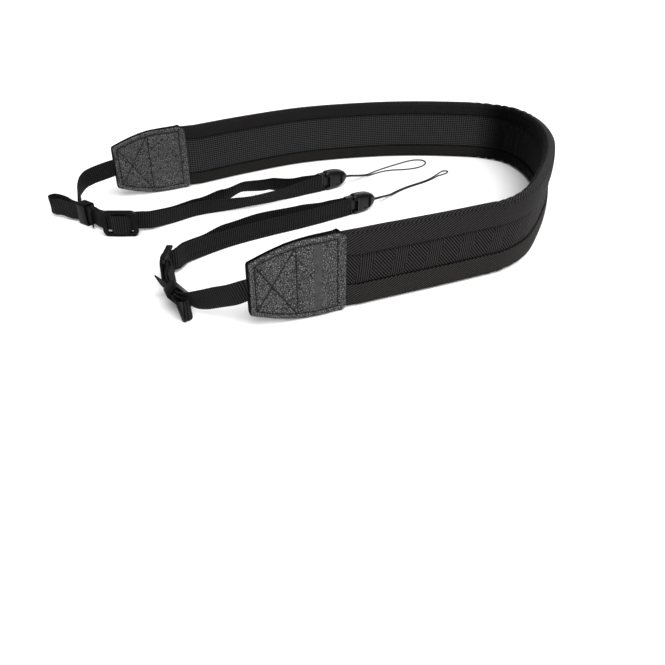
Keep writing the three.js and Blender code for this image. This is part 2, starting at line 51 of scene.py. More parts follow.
def addCamera():
    # the camera stands back from the plan's zero point by the distance, up by the pitch
    data = bpy.data.cameras.new("camera")
    data.lens, data.sensor_width = camera["lens"], camera["sensor"]
    data.clip_start = 0.01
    made = bpy.data.objects.new("camera", data)
    bpy.context.collection.objects.link(made)
    pitch = math.radians(camera["pitch"])
    back = np.array([0, -math.cos(pitch), math.sin(pitch)]) * camera["distance"]
    made.location = (back - datum) * mm
    made.rotation_euler = (math.pi / 2 - pitch, 0, 0)
    bpy.context.scene.camera = made


addCamera()


# ---- lines and surfaces ----

def splineThrough(points, perSpan):
    # centripetal Catmull-Rom: a cubic for each span, its end slopes from the points on both
    # sides, with knots spaced by the square root of the distance between points
    p = np.asarray(points, float)
    p = np.vstack([2 * p[0] - p[1], p, 2 * p[-1] - p[-2]])
    gaps = np.sqrt(np.linalg.norm(np.diff(p, axis=0), axis=1))[:, None, None]
    before, here, after = gaps[:-2], gaps[1:-1], gaps[2:]
    p0, p1, p2, p3 = (p[k:len(p) - 3 + k][:, None, :] for k in range(4))
    start = here * ((p1 - p0) / before - (p2 - p0) / (before + here) + (p2 - p1) / here)
    end = here * ((p2 - p1) / here - (p3 - p1) / (here + after) + (p3 - p2) / after)
    s = np.arange(perSpan)[None, :, None] / perSpan
    curve = (2 * s**3 - 3 * s**2 + 1) * p1 + (s**3 - 2 * s**2 + s) * start
    curve = curve + (3 * s**2 - 2 * s**3) * p2 + (s**3 - s**2) * end
    return np.vstack([curve.reshape(-1, p.shape[1]), p[-2]])


def lengthsAlong(points):
    steps = np.linalg.norm(np.diff(points, axis=0), axis=1)
    return np.concatenate([[0], np.cumsum(steps)])


def at(places, known, values):
    # straight-line interpolation of every column of values
    return np.stack([np.interp(places, known, column) for column in values.T], axis=-1)


def unit(vectors):
    return vectors / np.linalg.norm(vectors, axis=-1, keepdims=True)


def bump(x, centre, width):
    return np.exp(-((x - centre) / width) ** 2)


def smoothStep(x, low, high):
    t = np.clip((x - low) / (high - low), 0, 1)
    return t * t * (3 - 2 * t)


def addObject(name, mesh, material):
    made = bpy.data.objects.new(name, mesh)
    bpy.context.collection.objects.link(made)
    mesh.materials.append(material)
    mesh.shade_smooth()
    return made


def signedVolume(points, faces):
    # sum over triangle fans of the box product of their corners
    a, b, c = (points[faces[:, k]] for k in (0, 1, 2))
    volume = np.einsum("ij,ij->i", a, np.cross(b, c)).sum()
    if faces.shape[1] == 4:
        d = points[faces[:, 3]]
        volume += np.einsum("ij,ij->i", a, np.cross(c, d)).sum()
    return volume


def skin(name, grid, along, around, material, **marks):
    # a closed surface through rings of points, each ring closed on itself and each end shut by
    # a fan from its middle. along and around give the UV map in millimetres, and each mark is
    # a number kept at every point.
    rings, count = grid.shape[:2]
    i, j = np.meshgrid(np.arange(rings - 1), np.arange(count), indexing="ij")
    k = (j + 1) % count
    quads = np.stack([i * count + j, i * count + k, (i + 1) * count + k, (i + 1) * count + j], -1)
    quads = quads.reshape(-1, 4)
    uv = np.stack([np.stack([along[i], around[j]], -1), np.stack([along[i], around[j + 1]], -1),
                   np.stack([along[i + 1], around[j + 1]], -1),
                   np.stack([along[i + 1], around[j]], -1)], axis=-2).reshape(-1, 4, 2)
    ends = np.array([grid[0].mean(0), grid[-1].mean(0)])
    points = np.vstack([grid.reshape(-1, 3), ends])
    ring, following = np.arange(count), (np.arange(count) + 1) % count
    last = (rings - 1) * count
    caps = np.vstack([
        np.stack([np.full(count, rings * count), following, ring], -1),
        np.stack([np.full(count, rings * count + 1), last + ring, last + following], -1),
    ])
    capUv = np.zeros((len(caps), 3, 2))
    capUv[..., 1] = around.mean()
    capUv[count:, :, 0] = along[-1]
    if signedVolume(points, quads) + signedVolume(points, caps) < 0:
        quads, uv, caps = quads[:, ::-1], uv[:, ::-1], caps[:, ::-1]
    mesh = bpy.data.meshes.new(name)
    mesh.from_pydata(points, [], quads.tolist() + caps.tolist())
    layer = mesh.uv_layers.new(name="lay")
    layer.data.foreach_set("uv", np.concatenate([uv.ravel(), capUv.ravel()]))
    for mark, values in marks.items():
        attribute = mesh.attributes.new(mark, "FLOAT", "POINT")
        attribute.data.foreach_set("value", np.concatenate([values.ravel(), [0, 0]]))
    return addObject(name, mesh, material)


def joinedCapsules(name, starts, stops, raised, radius, material):
    # short round threads from start to stop: six-sided rings that swell like an arch, all one mesh
    rings = np.array([0, 0.12, 0.5, 0.88, 1])
    swell = np.array([0.25, 0.9, 1, 0.9, 0.25])
    lift = np.array([-0.9, 0.1, 0.5, 0.1, -0.9]) * radius
    turn = np.arange(6) * math.pi / 3
    way = unit(stops - starts)
    side = unit(np.cross(way, raised))
    middle = starts[:, None] + (stops - starts)[:, None] * rings[:, None]
    middle = middle + raised[:, None] * lift[:, None]
    offset = (side[:, None, None] * np.cos(turn)[:, None]
              + unit(raised)[:, None, None] * np.sin(turn)[:, None])
    points = middle[:, :, None] + offset * (swell * radius)[:, None, None]
    count = len(starts)
    points = points.reshape(-1, 3)
    i, j = np.meshgrid(np.arange(4), np.arange(6), indexing="ij")
    k = (j + 1) % 6
    quads = np.stack([i * 6 + j, i * 6 + k, i * 6 + 6 + k, i * 6 + 6 + j], -1).reshape(-1, 4)
    first = np.arange(count)[:, None, None] * 30
    quads = (quads + first).reshape(-1, 4)
    ends = np.array([[5, 4, 3, 2, 1, 0], [24, 25, 26, 27, 28, 29]])
    ends = (ends + first).reshape(-1, 6)
    if signedVolume(points, quads) < 0:
        quads, ends = quads[:, ::-1], ends[:, ::-1]
    mesh = bpy.data.meshes.new(name)
    mesh.from_pydata(points, [], quads.tolist() + ends.tolist())
    return addObject(name, mesh, material)


# ---- reading the frame's strips ----

def ringsOf(nodeName, axis, sign):
    # walks a four-cornered strip from the end that lies furthest along the axis. A corner inside
    # the strip has six neighbours and one on an end has fewer, so the ends show themselves.
    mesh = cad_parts[nodeName].data
    raw = np.empty(len(mesh.vertices) * 3)
    mesh.vertices.foreach_get("co", raw)
    raw = raw.reshape(-1, 3)
    _, first, same = np.unique(np.round(raw * 2e5).astype(int), axis=0,
                               return_index=True, return_inverse=True)
    points, same = raw[first], same.ravel()
    corners = np.empty(len(mesh.loops), int)
    mesh.loops.foreach_get("vertex_index", corners)
    triangles = same[corners].reshape(-1, 3)
    near = [set() for _ in points]
    for a, b, c in triangles.tolist():
        near[a] |= {b, c}
        near[b] |= {a, c}
        near[c] |= {a, b}
    ends = [p for p, others in enumerate(near) if len(others) < 6]
    start = max(ends, key=lambda p: sign * points[p][axis])
    ring = {start} | {p for p in ends if p in near[start]}
    ring |= {p for q in list(ring) for p in near[q] if p in ends}
    seen, walked = set(), []
    while ring:
        walked.append(ring)
        seen |= ring
        ring = {p for q in ring for p in near[q]} - seen
    turns = [np.roll(np.arange(4)[::way], k) for way in (1, -1) for k in range(4)]
    ordered = []
    for ring in walked:
        corner = list(ring)
        inside = {p: near[p] & ring for p in corner}
        cycle = [min(corner, key=lambda p: len(inside[p]))]
        while len(cycle) < 4:
            rest = [p for p in inside[cycle[-1]] if p not in cycle]
            cycle.append(min(rest, key=lambda p: np.linalg.norm(points[p] - points[cycle[-1]])))
        here = points[cycle]
        if ordered:
            moved = [np.linalg.norm(here[t] - ordered[-1], axis=1).sum() for t in turns]
            here = here[turns[int(np.argmin(moved))]]
        ordered.append(here)
    rings = np.array(ordered)
    if np.linalg.norm(rings[3, 1] - rings[3, 0]) > np.linalg.norm(rings[3, 2] - rings[3, 1]):
        rings = np.roll(rings, -1, axis=1)
    return rings


def stripFrames(rings):
    # the middle of each ring, the way its thin side faces, and its up
    face = unit(rings[:, 1] + rings[:, 2] - rings[:, 0] - rings[:, 3])
    up = unit(rings[:, 2] + rings[:, 3] - rings[:, 0] - rings[:, 1])
    if up[0, 2] < 0:
        up = -up
    return rings.mean(1), face, up


# ---- finishes ----

def linear(colour):
    # sRGB hex to the linear numbers that the shader takes
    parts = np.array([int(colour[k:k + 2], 16) for k in (1, 3, 5)]) / 255
    return (*np.where(parts <= 0.04045, parts / 12.92, ((parts + 0.055) / 1.055) ** 2.4), 1.0)


def addNode(tree, kind, inputs=None, **settings):
    made = tree.nodes.new("ShaderNode" + kind)
    for key, value in settings.items():
        setattr(made, key, value)
    for key, value in (inputs or {}).items():
        if isinstance(value, bpy.types.NodeSocket):
            tree.links.new(value, made.inputs[key])
        else:
            made.inputs[key].default_value = value
    return made


def newFinish(name, roughness, ior, sheen=0.0, specular=0.5):
    material = bpy.data.materials.new(name)
    material.use_nodes = True
    tree = material.node_tree
    shader = tree.nodes["Principled BSDF"]
    shader.inputs["Roughness"].default_value = roughness
    shader.inputs["IOR"].default_value = ior
    shader.inputs["Specular IOR Level"].default_value = specular
    shader.inputs["Sheen Weight"].default_value = sheen
    shader.inputs["Sheen Roughness"].default_value = 0.5
    return material, tree, shader


def layCoordinates(tree):
    # millimetres along and across the cloth, from the piece's own UV map
    uv = addNode(tree, "UVMap", uv_map="lay")
    split = addNode(tree, "SeparateXYZ", {"Vector": uv.outputs["UV"]})
    return uv.outputs["UV"], split.outputs["X"], split.outputs["Y"]


def ribs(tree, along, across, pitch, slope):
    # 0 to 1 across each rib: half a cosine of (along + slope times across) over the pitch
    slant = addNode(tree, "Math", {0: across, 1: slope, 2: along}, operation="MULTIPLY_ADD")
    wave = addNode(tree, "Math", {0: slant.outputs[0], 1: 2 * math.pi / pitch}, operation="MULTIPLY")
    cosine = addNode(tree, "Math", {0: wave.outputs[0]}, operation="COSINE")
    half = addNode(tree, "Math", {0: cosine.outputs[0], 1: 0.5, 2: 0.5}, operation="MULTIPLY_ADD")
    return half.outputs[0]


def dress(tree, shader, height, dark, light, depth, grain, grainDepth):
    # colour goes from dark in the hollows to light on the ridges, and a bump follows both. Cloth
    # in shade carries a painted shade mark from 0 to 1, which takes its colour towards black.
    colour = addNode(tree, "Mix", {0: height, 6: linear(dark), 7: linear(light)}, data_type="RGBA")
    worn = addNode(tree, "Mix", {0: grain, 6: colour.outputs[2], 7: linear(light)}, data_type="RGBA")
    shade = addNode(tree, "Attribute", attribute_name="shade")
    paintedShadeColour = addNode(tree, "Mix", {0: shade.outputs["Fac"], 6: worn.outputs[2], 7: linear("#000000")},
                       data_type="RGBA")
    tree.links.new(paintedShadeColour.outputs[2], shader.inputs["Base Color"])
    fine = addNode(tree, "Bump", {"Height": grain, "Distance": grainDepth * mm, "Strength": 1.0})
    coarse = addNode(tree, "Bump", {"Height": height, "Distance": depth * mm, "Strength": 1.0,
                                    "Normal": fine.outputs["Normal"]})
    tree.links.new(coarse.outputs["Normal"], shader.inputs["Normal"])


def speckle(tree, vector, cell, low, high):
    # yarn fluff and wear: fractal noise of that cell in millimetres, cut to a range of 0 to 1
    noise = addNode(tree, "TexNoise",
                    {"Vector": vector, "Scale": 1 / cell, "Detail": 3.0, "Roughness": 0.65})
    cut = addNode(tree, "MapRange", {"Value": noise.outputs[0], 1: low, 2: high, 3: 0.0, 4: 1.0})
    return cut.outputs[0]


def makeAirMesh():
    # polyester air mesh, knitted: columns of small dark holes, matt with a faint fuzz
    material, tree, shader = newFinish("knitted polyester air mesh", 0.85, 1.5, sheen=0.02, specular=0.05)
    vector, along, across = layCoordinates(tree)
    columns = ribs(tree, along, across, 1.6, 0.0)
    rows = ribs(tree, across, along, 1.35, 0.0)
    both = addNode(tree, "Math", {0: columns, 1: rows}, operation="ADD")
    yarn = addNode(tree, "MapRange", {"Value": both.outputs[0], 1: 0.25, 2: 1.5, 3: 0.0, 4: 1.0})
    fluff = speckle(tree, vector, 0.5, 0.55, 0.8)
    dress(tree, shader, yarn.outputs[0], "#000000", "#333334", 0.45, fluff, 0.05)
    return material


def makeTwill(name, dark, light, pitch, slope):
    # polyester twill tape, woven: slanting ribs, slightly shiny on their crowns
    material, tree, shader = newFinish(name, 0.65, 1.5, sheen=0.01, specular=0.03)
    vector, along, across = layCoordinates(tree)
    slanted = ribs(tree, along, across, pitch, slope)
    dress(tree, shader, slanted, dark, light, 0.45, speckle(tree, vector, 0.6, 0.5, 0.85), 0.05)
    return material


def makeChevron():
    # ribbed jacquard: blocks of slanting ribs and blocks of upright ones, with slanting borders
    material, tree, shader = newFinish("ribbed chevron jacquard", 0.65, 1.5, sheen=0.01, specular=0.03)
    vector, along, across = layCoordinates(tree)
    slanting = ribs(tree, along, across, 1.65, -0.85)
    upright = ribs(tree, along, across, 1.2, 0.1)
    border = addNode(tree, "Math", {0: across, 1: 0.3, 2: along}, operation="MULTIPLY_ADD")
    block = addNode(tree, "Math", {0: border.outputs[0], 1: 1 / 19}, operation="MULTIPLY")
    part = addNode(tree, "Math", {0: block.outputs[0]}, operation="FRACT")
    which = addNode(tree, "Math", {0: part.outputs[0], 1: 0.58}, operation="GREATER_THAN")
    ribbed = addNode(tree, "Mix", {0: which.outputs[0], 2: slanting, 3: upright})
    fluff = speckle(tree, vector, 0.5, 0.55, 0.85)
    dress(tree, shader, ribbed.outputs[0], "#000000", "#363334", 0.6, fluff, 0.05)
    return material


def makeThread():
    # bonded polyester sewing thread, black: a little shinier than the cloth round it
    material, tree, shader = newFinish("bonded sewing thread", 0.5, 1.5, specular=0.3)
    shader.inputs["Base Color"].default_value = linear("#0c0c0d")
    return material


def makeLeather():
    # pebble-grained cow leather, dyed through and lightly finished: soft broken highlights,
    # grain cells near 1 mm, edges cut and inked black, and painted shade black in the seam grooves
    material, tree, shader = newFinish("pebbled leather", 0.5, 1.5)
    place = addNode(tree, "TexCoord").outputs["Object"]
    cells = addNode(tree, "TexVoronoi", {"Vector": place, "Scale": 1000.0}, feature="DISTANCE_TO_EDGE")
    tones = addNode(tree, "TexVoronoi", {"Vector": place, "Scale": 1000.0})
    wear = addNode(tree, "TexNoise", {"Vector": place, "Scale": 160.0, "Detail": 4.0, "Roughness": 0.6})
    pebbles = addNode(tree, "MapRange",
                      {"Value": cells.outputs["Distance"], 1: 0.0, 2: 0.24, 3: 0.0, 4: 1.0},
                      interpolation_type="SMOOTHSTEP")
    pressed = addNode(tree, "Attribute", attribute_name="pressed")
    pebbles = addNode(tree, "Mix", {0: pressed.outputs["Fac"], 2: pebbles.outputs[0], 3: 0.35})
    tone = addNode(tree, "SeparateColor", {"Color": tones.outputs["Color"]})
    worn = addNode(tree, "Math", {0: wear.outputs[0], 1: 0.5, 2: tone.outputs[0]}, operation="MULTIPLY_ADD")
    level = addNode(tree, "MapRange", {"Value": worn.outputs[0], 1: 0.2, 2: 1.3, 3: 0.55, 4: 1.0})
    mixed = addNode(tree, "Math", {0: pebbles.outputs[0], 1: level.outputs[0]}, operation="MULTIPLY")
    grain = addNode(tree, "Mix", {0: mixed.outputs[0], 6: linear("#000000"), 7: linear("#646364")},
                    data_type="RGBA")
    # the edge mark is small on the cut edges, which are inked black, and along the seams, where the black
    # is painted shade in the grooves
    edge = addNode(tree, "Attribute", attribute_name="edge")
    inkedEdgeAndSeamShade = addNode(tree, "MapRange", {"Value": edge.outputs["Fac"], 1: 0.25, 2: 0.55, 3: 0.0, 4: 1.0})
    colour = addNode(tree, "Mix", {0: inkedEdgeAndSeamShade.outputs[0], 6: linear("#050505"), 7: grain.outputs[2]},
                     data_type="RGBA")
    tree.links.new(colour.outputs[2], shader.inputs["Base Color"])
    shine = addNode(tree, "MapRange", {"Value": inkedEdgeAndSeamShade.outputs[0], 3: 0.03, 4: 0.3})
    tree.links.new(shine.outputs[0], shader.inputs["Specular IOR Level"])
    gloss = addNode(tree, "MapRange", {"Value": mixed.outputs[0], 1: 0.0, 2: 1.0, 3: 0.8, 4: 0.42})
    tree.links.new(gloss.outputs[0], shader.inputs["Roughness"])
    fold = addNode(tree, "Bump", {"Height": wear.outputs[0], "Distance": 0.25 * mm, "Strength": 0.6})
    bumps = addNode(tree, "Bump", {"Height": pebbles.outputs[0], "Distance": 0.3 * mm, "Strength": 1.0,
                                   "Normal": fold.outputs["Normal"]})
    tree.links.new(bumps.outputs["Normal"], shader.inputs["Normal"])
    return material


webbingPitch = 1.25  # mm from one woven rib to the next


def makeWebbing():
    # flat nylon webbing: ribs across it are modelled, and fine yarns run along each rib
    material, tree, shader = newFinish("woven nylon webbing", 0.55, 1.53, sheen=0.01, specular=0.05)
    vector, along, across = layCoordinates(tree)
    yarns = ribs(tree, across, along, 1.1, 0.0)
    weft = ribs(tree, along, across, webbingPitch, 0.0)
    woven = addNode(tree, "Math", {0: yarns, 1: 0.2, 2: weft}, operation="MULTIPLY_ADD")
    level = addNode(tree, "MapRange", {"Value": woven.outputs[0], 1: 0.15, 2: 1.1, 3: 0.0, 4: 1.0})
    fluff = speckle(tree, vector, 0.5, 0.55, 0.85)
    dress(tree, shader, level.outputs[0], "#000000", "#252526", 0.4, fluff, 0.03)
    return material


def makeMoulded(name, colour, roughness, grit, specular):
    # acetal, injection moulded from a spark-eroded tool: a fine even grit under a soft gloss
    material, tree, shader = newFinish(name, roughness, 1.48, specular=specular)
    place = addNode(tree, "TexCoord").outputs["Object"]
    noise = addNode(tree, "TexNoise", {"Vector": place, "Scale": 1000 / grit, "Detail": 2.0})
    shade = addNode(tree, "MapRange", {"Value": noise.outputs[0], 1: 0.3, 2: 0.7, 3: 0.85, 4: 1.15})
    tint = addNode(tree, "Mix", {0: 1.0, 6: linear(colour), 7: shade.outputs[0]}, data_type="RGBA",
                   blend_type="MULTIPLY")
    tree.links.new(tint.outputs[2], shader.inputs["Base Color"])
    pits = addNode(tree, "Bump", {"Height": noise.outputs[0], "Distance": 0.03 * mm, "Strength": 0.7})
    tree.links.new(pits.outputs["Normal"], shader.inputs["Normal"])
    return material


def makeBraid():
    # braided polyester cord: two sets of yarns wound opposite ways round it
    material, tree, shader = newFinish("braided polyester cord", 0.6, 1.5, sheen=0.03, specular=0.2)
    vector, along, across = layCoordinates(tree)
    right = ribs(tree, along, across, 1.1, 0.7)
    left = ribs(tree, along, across, 1.1, -0.7)
    plaited = addNode(tree, "Math", {0: right, 1: left}, operation="MAXIMUM")
    fluff = speckle(tree, vector, 0.4, 0.55, 0.85)
    dress(tree, shader, plaited.outputs[0], "#030303", "#202021", 0.06, fluff, 0.02)
    return material


def makeFoam():
    # closed-cell foam rubber, sliced: fine pores, dull
    material, tree, shader = newFinish("closed-cell foam", 0.95, 1.5)
    place = addNode(tree, "TexCoord").outputs["Object"]
    pores = addNode(tree, "TexVoronoi", {"Vector": place, "Scale": 2500.0})
    dark, light = linear("#0a0a0a"), linear("#1c1c1d")
    colour = addNode(tree, "Mix", {0: pores.outputs["Distance"], 6: dark, 7: light}, data_type="RGBA")
    tree.links.new(colour.outputs[2], shader.inputs["Base Color"])
    return material


airMesh = makeAirMesh()
upperTwill = makeTwill("polyester twill tape", "#000000", "#333132", 2.4, -1.75)
lowerTwill = makeTwill("fine twill tape", "#010101", "#343331", 2.4, 1.9)
chevron = makeChevron()
thread = makeThread()
leather = makeLeather()
nylon = makeWebbing()
fittingAcetal = makeMoulded("moulded acetal, textured", "#050506", 0.42, 0.4, 0.1)
buckleAcetal = makeMoulded("moulded acetal, satin", "#0b0b0c", 0.3, 0.3, 0.25)
braid = makeBraid()
foam = makeFoam()
print("finishes made")


def finishPiece(piece, slotName, *nodes):
    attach(piece, "root")
    if nodes:
        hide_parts(*nodes)
    return piece


# ---- cord loops ----

cordLoop = {"diameter": 0.9, "perSpan": 10, "around": 10, "pitch": 0.35}
cordRows = {
    "far": [
        [8.6, 186.9, 6.0], [11.4, 189.0, 5.6], [15.6, 193, 4.2], [19.8, 198.2, 2.4], [24.2, 203.6, 0.9],
        [29.4, 209.8, 0.5], [35, 215.4, 0.5], [41.4, 221, 0.5], [48.4, 226.8, 0.5],
        [55.2, 232, 0.5], [61.6, 235, 0.5], [66.8, 234.2, 0.5], [68.6, 229.2, 0.5],
        [65.4, 222.2, 0.5], [59, 217.2, 0.5], [51, 214.6, 0.5], [43.2, 213.6, 0.5],
        [36.4, 211, 0.5], [30.6, 206.8, 0.5], [25.8, 202.2, 0.9], [21.2, 196.8, 2.4],
        [16.8, 191.4, 4.2], [12.4, 187.4, 5.6], [9.4, 185.4, 6.0],
    ],
    "near": [
        [25.8, 146.9, 6.0], [28.4, 149.4, 5.6], [31.4, 154.6, 4.2], [35, 161, 2.4], [38.6, 167.2, 0.9],
        [43.4, 173.8, 0.5], [49.4, 180, 0.5], [56, 185.6, 0.5], [62.6, 191, 0.5], [68.4, 197, 0.5],
        [73, 203.4, 0.5], [76.6, 208.8, 0.5], [79.4, 211.8, 0.5], [82.2, 211.2, 0.5], [81.4, 208, 0.5],
        [77.8, 204.6, 0.5], [74.3, 201.9, 0.5], [69.5, 196, 0.5], [63.6, 190, 0.5], [57, 184.6, 0.5],
        [50.4, 179, 0.5], [44.5, 172.9, 0.5], [39.8, 166.4, 0.9], [36.2, 160.3, 2.4],
        [32.7, 153.9, 4.2], [29.9, 148.5, 5.6], [26.8, 145.5, 6.0],
    ],
}


def makeCord(name, rows):
    # a round tube: at each place on the route a circle across it, with a braid's small swellings
    route = splineThrough((np.array(rows) - datum) * mm, cordLoop["perSpan"])
    along = lengthsAlong(route)
    places = np.linspace(0, along[-1], int(along[-1] / (cordLoop["pitch"] * mm)))
    path = at(places, along, route)
    way = unit(np.gradient(path, axis=0))
    side = unit(np.cross(way, [0, 0, 1]))
    up = np.cross(side, way)
    turn = np.arange(cordLoop["around"]) * 2 * math.pi / cordLoop["around"]
    swell = 1 - 0.06 * (1 + np.cos(places[:, None] / mm * 2 * math.pi / 1.1 + 2 * turn)) / 2
    ring = side[:, None] * np.cos(turn)[:, None] + up[:, None] * np.sin(turn)[:, None]
    radius = cordLoop["diameter"] / 2 * mm
    grid = path[:, None] + ring * (radius * swell)[..., None]
    around = np.linspace(0, math.pi * cordLoop["diameter"], cordLoop["around"] + 1)
    cord = skin(f"{name}_cord_loop", grid, places / mm, around, braid)
    finishPiece(cord, "cord", f"{name}_cord")


for name, rows in cordRows.items():
    makeCord(name, rows)
print("cord loops made")


# ---- the padded band ----

band = {"height": 40, "half": 2.5, "skin": 0.9, "outerLeg": 12, "innerLeg": 8, "gap": 0.3,
        "step": 0.8, "crown": 0.45, "fold": 1.5, "lap": 0.2, "sunk": 0.25, "bend": (8, 20),
        "shaded": (0.2, 0.6), "evenReach": 45, "evenWidth": 15}
stitching = {"pitch": 3.1, "length": 2.1, "radius": 0.2, "inset": 1.5, "fromEnd": 12}

padRings = ringsOf("neck_pad", 1, 1)
padMiddle, padAway, _ = stripFrames(padRings)
if padAway[len(padAway) // 2][0] < 0:
    padAway = -padAway
padLow = padRings[:, :, 2].min(1)
padHalf = np.linalg.norm(padRings[:, 1] - padRings[:, 0], axis=1) / 2
spine = padMiddle * [1, 1, 0]
spineAt = lengthsAlong(spine)
bandCount = int(spineAt[-1] / (band["step"] * mm))
bandPlaces = np.linspace(0, spineAt[-1], bandCount)
smoothSpine = splineThrough(spine, 12)
smoothAt = lengthsAlong(smoothSpine)
bandLine = at(bandPlaces, smoothAt * spineAt[-1] / smoothAt[-1], smoothSpine)
bandWay = unit(np.gradient(bandLine, axis=0))
bandAway = np.stack([-bandWay[:, 1], bandWay[:, 0], 0 * bandWay[:, 0]], -1)
if (bandAway[bandCount // 2] * padAway[len(padAway) // 2]).sum() < 0:
    bandAway = -bandAway
bandSqueeze = np.interp(bandPlaces, spineAt, padHalf) / padHalf.max()
bandRise = np.interp(bandPlaces, spineAt, padLow) - padLow.min()
bandTurn = np.linalg.norm(np.gradient(bandWay, axis=0), axis=1) / (band["step"] * mm)
reach = band["evenReach"]
evening = np.exp(-(np.arange(-reach, reach + 1) / band["evenWidth"]) ** 2)
bandTurn = np.convolve(np.pad(bandTurn, reach, mode="edge"), evening / evening.sum(), mode="valid")
bandShade = smoothStep(bandAway[:, 0], *band["shaded"])  # where the inner face is turned from the light
bandMm = bandPlaces / mm


def wander(places, pitch, seed):
    # a slow wobble from -1 to 1: three sines of unlike pitch with seeded phases
    phases = np.random.default_rng(seed).uniform(0, 2 * math.pi, 3)
    waves = [np.sin(2 * math.pi * places / (pitch * k) + phase) for k, phase in zip((1, 1.7, 2.9), phases)]
    return sum(waves) / 3


def alongBand(name, section, around, material, **marks):
    # section gives (away, height) in millimetres for every place and point round it
    away, height = section
    away = away * bandSqueeze[:, None]
    grid = bandLine[:, None] + bandAway[:, None] * (away * mm)[..., None]
    grid[..., 2] = height * mm + bandRise[:, None]
    return skin(name, grid, bandMm, around, material, **marks)


def crumple(height, side):
    # shallow puckers that gather where the band bends: away from the pad on the bend's inside
    bend = smoothStep(bandTurn, *band["bend"])[:, None]
    waves = wander(bandMm, 6.5, 3)[:, None] * np.cos(height / 5) + 0.5 * wander(bandMm, 3.7, 4)[:, None]
    calm = 0.05 * wander(bandMm, 14, 5)[:, None]
    return side * (calm + (0.6 if side < 0 else 0.2) * bend * waves)


def panelSection(low, high, side, count):
    # a flat facing with a crown: full in the middle and level at its two sewn edges
    height = np.concatenate([np.linspace(low, high, count), np.linspace(high, low, 5)])
    across = (height - low) / (high - low)
    outer = side * (band["half"] - band["sunk"] + band["crown"] * (1 - (2 * across - 1) ** 4))
    inner = np.full(5, side * (band["half"] - band["skin"]))
    away = np.concatenate([outer[:count], inner])
    away = np.broadcast_to(away, (bandCount, count + 5)).copy()
    away[:, 1:count - 1] += crumple(height[1:count - 1], side)
    return away, np.broadcast_to(height, away.shape)


def makeFacing(name, nodeName, slotName, material, side, leg):
    low = leg + band["gap"] - band["lap"]
    high = band["height"] - leg - band["gap"] + band["lap"]
    count = 28
    section = panelSection(low, high, side, count)
    around = np.concatenate([np.linspace(low, high, count), np.linspace(high, low, 5)[1:], [low, low]])
    # painted shade: the lining is darkened where the band's inner face turns from the light
    shade = np.broadcast_to(0.95 * bandShade[:, None] * (side < 0), section[0].shape)
    piece = alongBand(name, section, around, material, shade=shade)
    finishPiece(piece, slotName, nodeName)
    return piece


def bindingProfile():
    # up the neck side, over the edge in a half round, and down the outer side, as one line of
    # (away, height below the edge); each leg swells a little between its fold and its sewn hem
    half = band["half"]
    t = np.linspace(0, 1, 14)
    innerLeg = np.stack([-half + 0 * t, band["innerLeg"] * (1 - t) + band["fold"] * t], -1)
    innerLeg[:, 0] -= 0.3 * np.sin(math.pi * t) ** 0.8
    outerLeg = np.stack([half + 0 * t, band["fold"] * (1 - t) + band["outerLeg"] * t], -1)
    outerLeg[:, 0] += 0.35 * np.sin(math.pi * t) ** 0.8
    turn = np.linspace(math.pi, 0, 11)[1:-1]
    top = np.stack([half * np.cos(turn), band["fold"] * (1 - np.sin(turn))], -1)
    return np.vstack([innerLeg, top, outerLeg])


def makeBinding(name, nodeName, material, upper, seed):
    line = bindingProfile()
    tangent = unit(np.gradient(line, axis=0))
    inward = np.stack([tangent[:, 1], -tangent[:, 0]], -1)
    inward[:, 1] = np.abs(inward[:, 1])
    inside = line + inward * (band["skin"] - 0.1)
    outline = np.vstack([line, inside[::-1]])
    away = np.broadcast_to(outline[:, 0], (bandCount, len(outline))).copy()
    depth = np.broadcast_to(outline[:, 1], away.shape).copy()
    bend = smoothStep(bandTurn, *band["bend"])[:, None]
    count = len(line)
    side = np.sign(line[:, 0])
    leg = np.where(side < 0, line[:, 1] / band["innerLeg"], line[:, 1] / band["outerLeg"])
    puckers = wander(bandMm, 5.2, seed)[:, None] * (leg * (side < 0)) * bend
    stitchDip = 0.22 * bump(np.mod(bandMm, stitching["pitch"]), stitching["pitch"] / 2, 0.9)[:, None]
    hem = np.where(side < 0, band["innerLeg"], band["outerLeg"])
    atStitch = bump(line[:, 1], hem - stitching["inset"], 0.9)
    away[:, :count] += side * (puckers - (0.1 + stitchDip) * atStitch)
    away[:, :count] += side * 0.06 * wander(bandMm, 11, seed + 1)[:, None]
    depth[:, :count] += 0.12 * wander(bandMm, 17, seed + 2)[:, None] * (leg > 0.9)
    gathers = np.abs(np.sin(math.pi * bandMm / 7.3 + 1.1 * wander(bandMm, 19, seed + 3)))[:, None]
    depth += 0.55 * bend * (1 - gathers) * (outline[:, 1] < 2.5)
    height = band["height"] - depth if upper else depth
    along = lengthsAlong(line)
    around = np.concatenate([along, along[::-1], [0]])
    # painted shade: the binding's inner leg is darker throughout, darker still where the band's inner face
    # turns from the light, and dark in the stitch dips of both hems
    paintedBindingShade = (outline[:, 0] < -0.5 * band["half"]) * (0.35 + 0.6 * bandShade[:, None])
    paintedBindingShade[:, :count] += 4 * stitchDip * atStitch
    piece = alongBand(name, (away, height), around, material, shade=np.minimum(paintedBindingShade, 1))
    finishPiece(piece, "twill_binding", nodeName)


def makeCore():
    # the foam core: a thin box with rounded long edges
    turn = np.arange(24) * 2 * math.pi / 24
    square = lambda value, power: np.sign(value) * np.abs(value) ** power
    away = (band["half"] - band["skin"] - band["gap"]) * square(np.cos(turn), 0.4)
    low, high = padLow.min() / mm, padRings[..., 2].max() / mm - (padLow.max() - padLow.min()) / mm
    height = (low + high) / 2 + (high - low) / 2 * square(np.sin(turn), 0.1)
    shape = (bandCount, len(turn))
    around = np.linspace(0, 2 * (high - low), 25)
    section = (np.broadcast_to(away, shape), np.broadcast_to(height, shape))
    core = alongBand("band_core", section, around, foam)
    finishPiece(core, "foam_core", "neck_pad")


